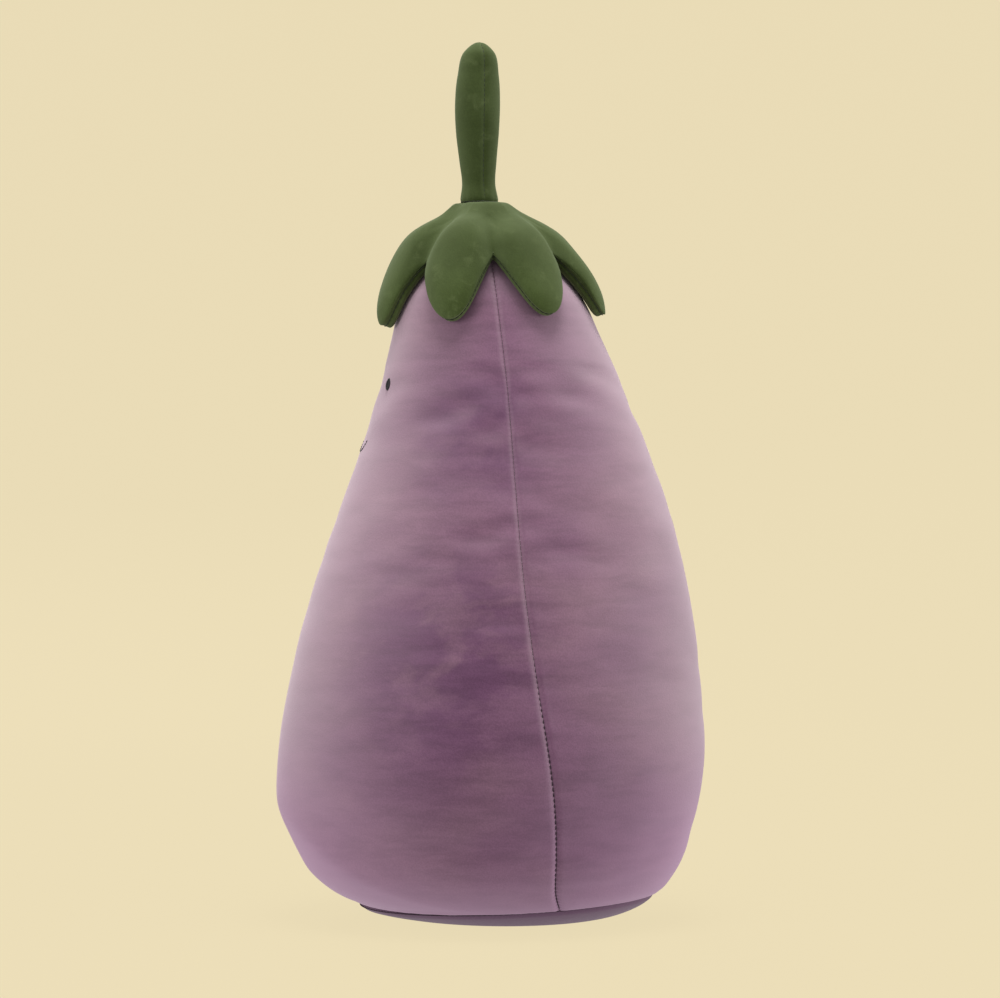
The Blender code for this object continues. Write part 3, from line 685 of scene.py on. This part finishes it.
def stitching(name, path, out, material, thread=THREAD, pitch=STITCH, sink=0.0, closed=False):
    """A row of stitches along a path. The thread is a tube of 8 sides whose middle rises and sinks with the
    size of a sine of the way along, once for each stitch, and which is thinnest where it sinks."""
    path, out = np.asarray(path, float), np.asarray(out, float)
    if closed:
        path, out = np.vstack([path, path[:1]]), np.vstack([out, out[:1]])
    run = np.concatenate([[0], np.cumsum(np.linalg.norm(np.diff(path, axis=0), axis=1))])
    count = max(1, round(run[-1] / pitch))
    even = np.linspace(0, run[-1], count * 10 + 1)
    path = np.column_stack([np.interp(even, run, path[:, k]) for k in range(3)])
    out = np.column_stack([np.interp(even, run, out[:, k]) for k in range(3)])
    ahead = np.gradient(path, axis=0)
    if closed:
        ahead[0] = ahead[-1] = path[1] - path[-2]
    ahead /= np.linalg.norm(ahead, axis=1)[:, None]
    beside = np.cross(ahead, out)
    beside /= np.linalg.norm(beside, axis=1)[:, None]
    out = np.cross(beside, ahead)
    hump = np.abs(np.sin(math.pi * count * even / run[-1])) ** 0.6
    turn = np.linspace(0, 2 * math.pi, 8, endpoint=False)
    size = thread * (0.55 + 0.45 * hump)[:, None, None]
    ring = np.cos(turn)[None, :, None] * beside[:, None, :] + np.sin(turn)[None, :, None] * out[:, None, :]
    middle = path + out * (thread * (1.2 * hump - 0.5) - sink)[:, None]
    points = middle[:, None, :] + size * ring
    if closed:
        points = points[:-1]
        points = np.swapaxes(points, 0, 1)
        made = surface(name, np.concatenate([points, points[:1]]), material)
        join_corners(made.data)
        return made
    first, last = (np.broadcast_to(middle[k], points[:1].shape) for k in (0, -1))
    return surface(name, np.concatenate([first, points, last])[:, ::-1], material, poles=(True, True))


PURPLE_THREAD = thread_material("purple_thread", (0.045, 0.018, 0.035), 0.6)
groove = SEAM_DEPTH + SEAM_VALE
runs = np.linspace(SEAM_RUN + SIDE_FOOT, TOP_RUN - SIDE_TOP, 400)
deep = groove + DRAWN_IN * np.clip((runs - run_at(DRAWN_FROM)) / DRAWN_OVER, 0, 1)
for side, angle in (("right", right_seam(runs)), ("left", math.pi - right_seam(runs))):
    path = body_point(angle, runs, -deep)
    made = stitching(f"side_stitches_{side}", path, outward(angle, runs), PURPLE_THREAD)
    settle(made, "purple_thread", f"side_seam_thread_{side}")
turns = np.linspace(0, 2 * math.pi, 600, endpoint=False)
path = body_point(turns, SEAM_RUN, -groove)
made = stitching("base_stitches", path, outward(turns, SEAM_RUN), PURPLE_THREAD, closed=True)
settle(made, "purple_thread", "base_seam_thread")
runs = np.linspace(SEAM_RUN + DART_FOOT, run_at(DART_TOP), 60)
turns = np.full_like(runs, FRONT)
path = body_point(turns, runs, -DART_SINK) + front_moved(turns, runs)
made = stitching("dart_stitches", path, outward(turns, runs), PURPLE_THREAD, DART_THREAD)
settle(made, "purple_thread", "front_dart_thread")

# === The face ========================================================================================
# Black satin stitch: two small upright ovals, domed over padding stitches, and a thin curved mouth.

BLACK_THREAD = thread_material("black_thread", (0.012, 0.009, 0.012), 0.38)
EYE_TURN = math.radians(18)
MOUTH_WIDTH, MOUTH_DROP, MOUTH_THREAD, MOUTH_STITCH = 0.014, 0.008, 0.00045, 0.0028
SATIN_RIDGE, SATIN_PITCH, SATIN_TUCK = 0.0001, 0.00042, 0.0003
EYE_BACK, MOUTH_SINK = 0.001, 0.0002  # how deep the eyes' backs and the mouth's thread lie in the cloth
eye_low, eye_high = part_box("eye_right")
EYE_RUN = run_at((eye_low[2] + eye_high[2]) / 2)
EYE_TALL, EYE_WIDE, EYE_DOME = eye_high[2] - eye_low[2], eye_high[0] - eye_low[0], 0.0015


def satin_eye(name, middle):
    """An oval dome: its height is the root of one less the square of the share out to its edge, with a ridge
    for each upright stitch, and its rim tucked under the cloth."""
    share = np.sin(np.linspace(0, math.pi / 2, 40))[:, None]
    around = np.linspace(0, 2 * math.pi, 96, endpoint=False)[None, :]
    across = EYE_WIDE / 2 * share * np.cos(around)
    radius = on_outline(BODY, EYE_RUN, 0.0)[0]
    ridges = SATIN_RIDGE * np.abs(np.sin(math.pi * across / SATIN_PITCH))
    rise = (EYE_DOME + ridges) * np.sqrt(1 - share**2) - SATIN_TUCK
    angle, run = middle + across / radius, EYE_RUN + EYE_TALL / 2 * share * np.sin(around)
    over = body_point(angle, run, rise)
    under = body_point(angle[::-1], run[::-1], -EYE_BACK)
    points = np.concatenate([over, under])[::-1] + front_moved(middle, EYE_RUN)
    return surface(name, points, BLACK_THREAD, poles=(True, True))


for side, turn in (("right", EYE_TURN), ("left", -EYE_TURN)):
    settle(satin_eye(f"eye_{side}_satin", FRONT + turn), "black_thread", f"eye_{side}")
across = np.linspace(-1, 1, 60)
runs = run_at(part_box("mouth_embroidery")[0].z + MOUTH_THREAD) + MOUTH_DROP * across**2
turns = FRONT + across * MOUTH_WIDTH / on_outline(BODY, runs, 0.0)[0]
path = body_point(turns, runs, -MOUTH_SINK) + front_moved(turns, runs)
made = stitching("mouth_stitches", path, outward(turns, runs), BLACK_THREAD, MOUTH_THREAD, MOUTH_STITCH)
settle(made, "black_thread", "mouth_embroidery")

# === The calyx =======================================================================================
# A star of seven lobes in green pile cloth, two layers sewn together round the edge, turned and stuffed, and
# fixed over the top of the body so that the lobes hang down over its shoulder.

LOBES = 7
LOBE_ANGLE = 2 * math.pi / LOBES
CALYX_TWIST = math.radians(10.6)
VALLEY_REACH, LOBE_REACH, LOBE_TAPER = 0.057, 0.044, 1.35
CALYX_FORWARD = 0.0045
PLUMP, PLUMP_LENGTH = 0.0175, 0.0080
EDGE_HEIGHT, UNDER_HEIGHT, UNDER_LENGTH = 0.0075, 0.0010, 0.0030
EDGE_BULGE = 0.0016
CROWN_PLUMP, BACK_SLIMMER = 0.0024, 0.0040
FOOT_PLUMP, FOOT_WIDTH, SEAT_SOFTNESS = 0.0040, 0.0215, 0.0006
CREASE, CREASE_WIDTH, CREASE_START = 0.62, 0.0065, 0.008
CALYX_LUMP, BULGE_LENGTH = 0.0005, 0.0013
CALYX_CLOTH, CALYX_ROWS, CALYX_COLUMNS, CALYX_START, CALYX_CAP = 0.0005, 73, 560, 0.0006, 0.0015
UNDER_STEM, HELD_ROWS = 12, 9  # rows of the calyx under the stem, and held next to them
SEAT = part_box("stem_foot_thread")[0].z - 0.0004


def lobe_share(angle):
    """The size of a cosine that is 1 at each lobe's middle and 0 at the notches."""
    return np.abs(np.cos(math.pi / LOBE_ANGLE * (from_front(angle) - CALYX_TWIST)))


def lobe_reach(angle):
    """How far the calyx reaches over the body from its top, at an angle: the notch between two lobes, and
    from it a power of the lobe's share. It is set a little forward."""
    lobe = lobe_share(angle) ** LOBE_TAPER
    return VALLEY_REACH + LOBE_REACH * lobe + CALYX_FORWARD * np.cos(from_front(angle))


def calyx_edge(columns):
    """Angles spaced evenly along the edge seam, the seam's points, and the directions in across the cloth."""
    turn = np.linspace(0, 2 * math.pi, 2881)
    line = body_point(turn, TOP_RUN - lobe_reach(turn), EDGE_HEIGHT)
    run = np.concatenate([[0], np.cumsum(np.linalg.norm(np.diff(line, axis=0), axis=1))])
    angle = np.interp(np.arange(columns) * run[-1] / columns, run, turn)
    edge = body_point(angle, TOP_RUN - lobe_reach(angle), EDGE_HEIGHT)
    inward = np.cross(outward(angle, TOP_RUN - lobe_reach(angle)), np.roll(edge, -1, 0) - np.roll(edge, 1, 0))
    return angle, edge, inward / np.linalg.norm(inward, axis=1)[:, None]


def from_edge(points, edge):
    """How far points are from the edge seam, evened so that it has no ridges: the seam's short lengths over
    the cubes of their distances are summed, halved, and brought to the power of minus a half."""
    length = np.linalg.norm(np.roll(edge, -1, 0) - np.roll(edge, 1, 0), axis=1) / 2
    squares = (np.maximum(((row[:, None] - edge) ** 2).sum(-1), 1e-9) for row in points)
    return np.array([((length / square**1.5).sum(1) / 2) ** -0.5 for square in squares])


def calyx_sheets(rows, columns, inset=0.0, taper=LOBE_TAPER, slack=0.0):
    """The two layers of the calyx over the body, on spokes from its middle to its edge. The upper one swells
    with the root of a hyperbolic tangent of the way in from the edge, less in the creases that run up between
    the lobes; the lower one drops onto the body in the same way; both bulge past the seam next to it."""
    angle, edge, inward = calyx_edge(columns)
    share = np.sin(np.linspace(0, math.pi / 2, rows))[:, None]
    narrower = (lobe_reach(angle) - VALLEY_REACH) * lobe_share(angle) ** (taper - LOBE_TAPER)
    reach = share * (VALLEY_REACH + narrower - inset)
    way_in = from_edge(body_point(angle, TOP_RUN - reach, EDGE_HEIGHT), edge)
    if not inset:
        way_in[-1] = 0.0
    valley = np.abs(((from_front(angle) - CALYX_TWIST) / LOBE_ANGLE) % 1 - 0.5) * LOBE_ANGLE
    aside = on_outline(BODY, TOP_RUN - reach, 0.0)[0] * valley
    start = np.clip((reach - CREASE_START) / (VALLEY_REACH - CREASE_START), 0, 1)
    crease = CREASE * start * (2 - start) * np.exp(-((aside / CREASE_WIDTH) ** 2))
    lumps = CALYX_LUMP * (np.sin(7 * angle + 90 * reach) + 0.8 * np.sin(3 * angle - 140 * reach + 2))
    swell = np.sqrt(np.tanh(way_in / PLUMP_LENGTH))
    ahead = np.cos(from_front(angle))
    full = PLUMP - EDGE_HEIGHT + CROWN_PLUMP * (1 + 0.4 * ahead) * np.exp(-(((reach - 0.044) / 0.016) ** 2))
    full = full + FOOT_PLUMP * (1 + 0.35 * ahead) * np.exp(-((reach / FOOT_WIDTH) ** 4))
    full = full - BACK_SLIMMER * (1 - ahead) / 2 * (reach / (VALLEY_REACH + LOBE_REACH)) ** 2
    over = EDGE_HEIGHT + (full * (1 - crease) + lumps) * swell - slack
    under = EDGE_HEIGHT - (EDGE_HEIGHT - UNDER_HEIGHT) * np.sqrt(np.tanh(way_in / UNDER_LENGTH)) + slack
    near = way_in / BULGE_LENGTH
    bulge = -inward * (EDGE_BULGE * near * np.exp(1 - near))[..., None]
    upper = body_point(angle, TOP_RUN - reach, over) + bulge
    below = (SEAT - slack - upper[..., 2]) / SEAT_SOFTNESS
    upper[..., 2] = SEAT - slack - SEAT_SOFTNESS * np.logaddexp(0, below)
    return upper, body_point(angle, TOP_RUN - reach, under) + 0.7 * bulge


def green_pile(name, dark, middle, light):
    """Short green pile in two tones, with a lighter bloom in small patches where it is brushed up, and
    painted
    light and shade by height: lighter lower down towards the lobe tips, a little darker at the top."""
    material, shader, add, join = new_material(name)
    cloud = noise(add, join, (1, 1, 1), 30.0, 3.0, 0.55)
    brushed = noise(add, join, (1, 1, 1), 85.0, 4.0, 0.6, 0.4)
    grain = noise(add, join, (1, 1, 1), 850.0, 2.0, 0.6)
    tone = mixed(add, join, ranged(add, join, cloud, 0.36, 0.66), dark, middle)
    tone = mixed(add, join, ranged(add, join, brushed, 0.52, 0.74, 0.0, 0.55), tone, light)
    place, height = add("ShaderNodeTexCoord"), add("ShaderNodeSeparateXYZ")
    join(place.outputs["Object"], height.inputs["Vector"])
    # Painted light and shade: the green is multiplied up to 1.45 low at the lobe tips and down to 0.95 at the
    # top.
    painted_light_by_height = ranged(add, join, height.outputs["Z"], 0.455, 0.405, 0.95, 1.45)
    tone = mixed(add, join, 1.0, tone, painted_light_by_height, "MULTIPLY")
    # Painted sheen: the green is mixed towards this lighter colour where the surface turns away from the
    # view.
    pile_cloth(shader, add, join, tone, (0.155, 0.200, 0.088), grain, brushed, 0.10, (0.85, 1.0, 0.75))
    return material


GREEN_TONES = [(0.046, 0.066, 0.018), (0.066, 0.093, 0.029), (0.108, 0.142, 0.054)]
GREEN = green_pile("green_pile", *GREEN_TONES)
upper, lower = calyx_sheets(CALYX_ROWS, CALYX_COLUMNS)
upper = upper[::-1]
loose = upper[: CALYX_ROWS - UNDER_STEM]
sewn = np.zeros(loose.shape[:2], dtype=bool)
sewn[:3] = sewn[-HELD_ROWS:] = True
loose += blown(loose, sewn, (3, 4), CALYX_START, CALYX_CAP, wrapped=True)
for name, points, poles in (("upper", upper, (False, True)), ("lower", lower, (True, False))):
    cloth = surface(f"calyx_{name}", points, GREEN, poles=poles)
    thicken(cloth, CALYX_CLOTH)
    settle(cloth, "green_pile", f"calyx_{name}_panel", fill=0.85)
upper, lower = calyx_sheets(24, 168, inset=0.005, taper=2.2, slack=0.003)
filling = surface("calyx_filling", np.concatenate([upper, lower[::-1]])[::-1], FIBRE, poles=(True, True))
settle(filling, "white_fibre", "calyx_stuffing")

GREEN_THREAD = thread_material("green_thread", (0.020, 0.032, 0.010), 0.6)
FINE_THREAD = 0.0003
angle, edge, inward = calyx_edge(1120)
made = stitching("calyx_stitches", edge, -inward, GREEN_THREAD, FINE_THREAD, closed=True)
settle(made, "green_thread", "calyx_seam_thread")

# === The stem ========================================================================================
# Two long strips of green pile cloth sewn into a tube, stuffed firm and stitched upright on the calyx.

stem_boxes = np.array([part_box(f"stem_{half}_panel") for half in ("front", "back")])
stem_low, stem_high = stem_boxes[:, 0].min(axis=0), stem_boxes[:, 1].max(axis=0)
STEM_LENGTH = stem_high[2] - stem_low[2] + 0.0005
STEM_RADIUS = (stem_high[0] - stem_low[0]) / 2
STEM_SEAM_TURN, STEM_BOW = math.radians(14), 0.0014
STEM_CLOTH, STEM_STITCH = 0.002, 0.0034
STEM_ROLL, STEM_FOLD, STEM_HEM = 0.0008, 0.0002, 0.0006
ROLL_WIDTH, FOLD_REACH, HEM_REACH, FOLDS = 0.0018, 0.006, 0.0015, 14
THREAD_FOOT, THREAD_TIP, THREAD_SINK = 0.003, 0.0005, 0.0011  # the long seam's thread: its ends and depth
FOOT_RISE, FOOT_SINK, DEEPER = 0.0004, 0.0006, 0.001  # the foot's thread, and the step that gives outward
foot, waist, widest, tip = (0.0130, 0.0), (0.0114, 0.013), (STEM_RADIUS, 0.070), (0.0, STEM_LENGTH)
stations = [foot, waist, *between(waist, [(0.33, 0.27), (0.85, 0.64)], widest), widest]
stations += [*between(widest, [(0.08, 0.42), (0.35, 0.84)], tip), tip]
STEM = outline(stations, (0, 1), (-1, 0), 0.0002)
STEM_SETBACK = (stem_low[1] + stem_high[1]) / 2


def stem_point(angle, run, out):
    """A point on the stem: its outline turned about an axis that bows a little to the front."""
    radius, plain, height = on_outline(STEM, run, out)
    bow = STEM_BOW * (0.5 - np.sin(math.pi * plain / STEM_LENGTH))
    y = radius * np.sin(angle) + STEM_SETBACK + bow
    return np.stack(np.broadcast_arrays(radius * np.cos(angle), y, height + stem_low[2]), axis=-1)


def sewn_stem_point(angle, run, out):
    """A point on the stem where its two seams pull the cloth in, and its foot is gathered in small folds
    and turned in at the hem."""
    radius = on_outline(STEM, run, 0.0)[0]
    side = np.abs((angle - STEM_SEAM_TURN + math.pi / 2) % math.pi - math.pi / 2)
    roll = STEM_ROLL * np.exp(-((radius * side / ROLL_WIDTH) ** 2)) * np.clip(radius / 0.004, 0, 1)
    folds = STEM_FOLD * np.cos(FOLDS * angle) * np.exp(-run / FOLD_REACH)
    hem = STEM_HEM * np.exp(-((run / HEM_REACH) ** 2))
    return stem_point(angle, run, out - roll - folds - hem)


runs = np.linspace(0, STEM[-1, 0], 160)[:, None]
for name, start in (("front", math.pi), ("back", 0.0)):
    angles = STEM_SEAM_TURN + start + close_at_ends(44, 1.4)[None, :] * math.pi
    points = sewn_stem_point(angles, runs, 0.0)
    cloth = surface(f"stem_{name}", points, GREEN, wrapped=False, poles=(False, True))
    thicken(cloth, STEM_CLOTH)
    settle(cloth, "green_pile", f"stem_{name}_panel", fill=0.95)
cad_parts["stem_stuffing"].data.materials.clear()
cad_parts["stem_stuffing"].data.materials.append(FIBRE)

climb = np.linspace(THREAD_FOOT, STEM[-1, 0] - THREAD_TIP, 80)
runs = np.concatenate([climb, climb[::-1]])
turns = np.repeat([STEM_SEAM_TURN, STEM_SEAM_TURN + math.pi], 80)
path = stem_point(turns, runs, -THREAD_SINK)
away = path - stem_point(turns, runs, -THREAD_SINK - DEEPER)
made = stitching("stem_stitches", path, away, GREEN_THREAD, FINE_THREAD, STEM_STITCH)
settle(made, "green_thread", "stem_seam_thread")
turns = np.linspace(0, 2 * math.pi, 160, endpoint=False)
path = stem_point(turns, FOOT_RISE, -FOOT_SINK)
away = path - stem_point(turns, FOOT_RISE, -FOOT_SINK - DEEPER)
made = stitching("stem_foot_stitches", path, away, GREEN_THREAD, FINE_THREAD, STEM_STITCH, closed=True)
settle(made, "green_thread", "stem_foot_thread")
